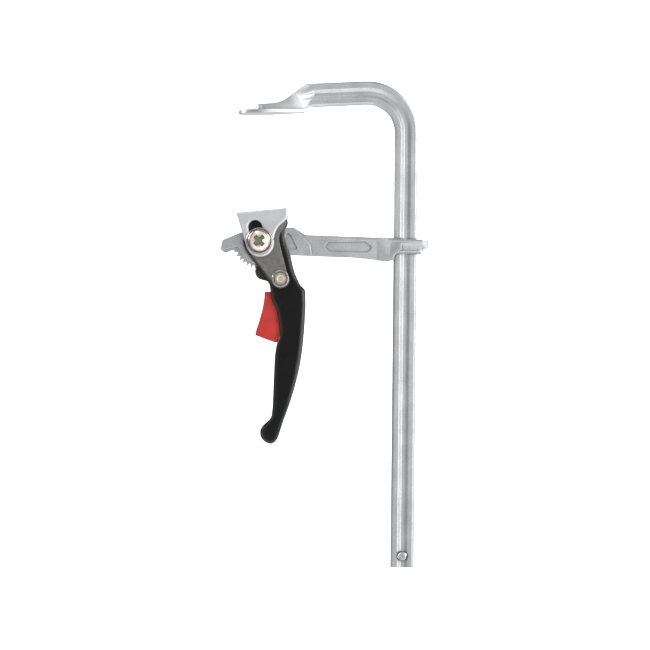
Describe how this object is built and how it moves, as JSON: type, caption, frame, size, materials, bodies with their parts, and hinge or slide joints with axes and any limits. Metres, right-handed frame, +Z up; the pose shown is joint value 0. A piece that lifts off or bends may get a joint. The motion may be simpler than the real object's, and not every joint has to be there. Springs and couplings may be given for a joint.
{
  "type": "f clamp",
  "caption": "Ratchet-lever F clamp: grooved L-shaped rail with a forged jaw, sliding arm, cam lever, pressure jaw and a sprung release pawl with a trigger.",
  "frame": {"origin": "middle of the fixed jaw's clamping face", "axes": "+Z up along the rail towards the fixed jaw, +X from the jaws towards the rail, +Y towards the back"},
  "size_m": [0.16, 0.0439, 0.3736],
  "materials": {
    "zinc_plated_steel": "zinc plated, satin",
    "pale_pressed_steel": "zinc plated, smooth satin",
    "dark_steel": "hardened, dark satin",
    "nickel_plated_steel": "nickel plated, bright",
    "black_enamel": "gloss powder coat",
    "red_plastic": "moulded, satin",
    "spring_steel": "drawn wire"
  },
  "bodies": {
    "rail_frame": {"rail": "zinc_plated_steel", "rail_stop_pin": "nickel_plated_steel"},
    "arm_carriage": {"sliding_arm": "zinc_plated_steel", "pivot_bolt": "nickel_plated_steel", "pivot_nut": "nickel_plated_steel", "arm_shim_front": "nickel_plated_steel", "arm_shim_rear": "nickel_plated_steel"},
    "lever_assembly": {"lever": "black_enamel", "side_plate_front": "dark_steel", "side_plate_rear": "dark_steel", "pawl_pin": "nickel_plated_steel", "pawl_washer_front": "nickel_plated_steel", "pawl_washer_rear": "nickel_plated_steel", "pawl_spacer": "nickel_plated_steel", "pawl_spring": "spring_steel"},
    "jaw_guide": {"guide_bush_front": "nickel_plated_steel", "guide_bush_rear": "nickel_plated_steel"},
    "jaw": {"pressure_jaw": "pale_pressed_steel"},
    "pawl_assembly": {"pawl": "dark_steel", "trigger": "red_plastic", "trigger_pin": "nickel_plated_steel"}
  },
  "joints": [
    {"name": "arm_slide", "type": "slide", "parent": "rail_frame", "child": "arm_carriage", "axis": [0, 0, 1], "range_m": [-0.229, 0.067]},
    {"name": "lever_swing", "type": "hinge", "parent": "arm_carriage", "child": "lever_assembly", "pos_m": [0, 0, -0.098], "axis": [0, 1, 0], "range_deg": [-9.6, 57.6]},
    {"name": "jaw_tilt", "type": "hinge", "parent": "arm_carriage", "child": "jaw_guide", "pos_m": [0, 0, -0.098], "axis": [0, 1, 0], "range_deg": [-3, 3]},
    {"name": "jaw_lift", "type": "slide", "parent": "jaw_guide", "child": "jaw", "axis": [-0.299, 0, 0.9542], "range_m": [-0.0058, 0.001]},
    {"name": "pawl_swing", "type": "hinge", "parent": "lever_assembly", "child": "pawl_assembly", "pos_m": [0.0164, 0, -0.1269], "axis": [0, -1, 0], "range_deg": [-4.6, 12], "stiffness_Nm_per_rad": 0.7}
  ],
  "couplings": [
    {"joint": "jaw_lift", "follows": "lever_swing", "m_per_rad": -0.0057127}
  ]
}
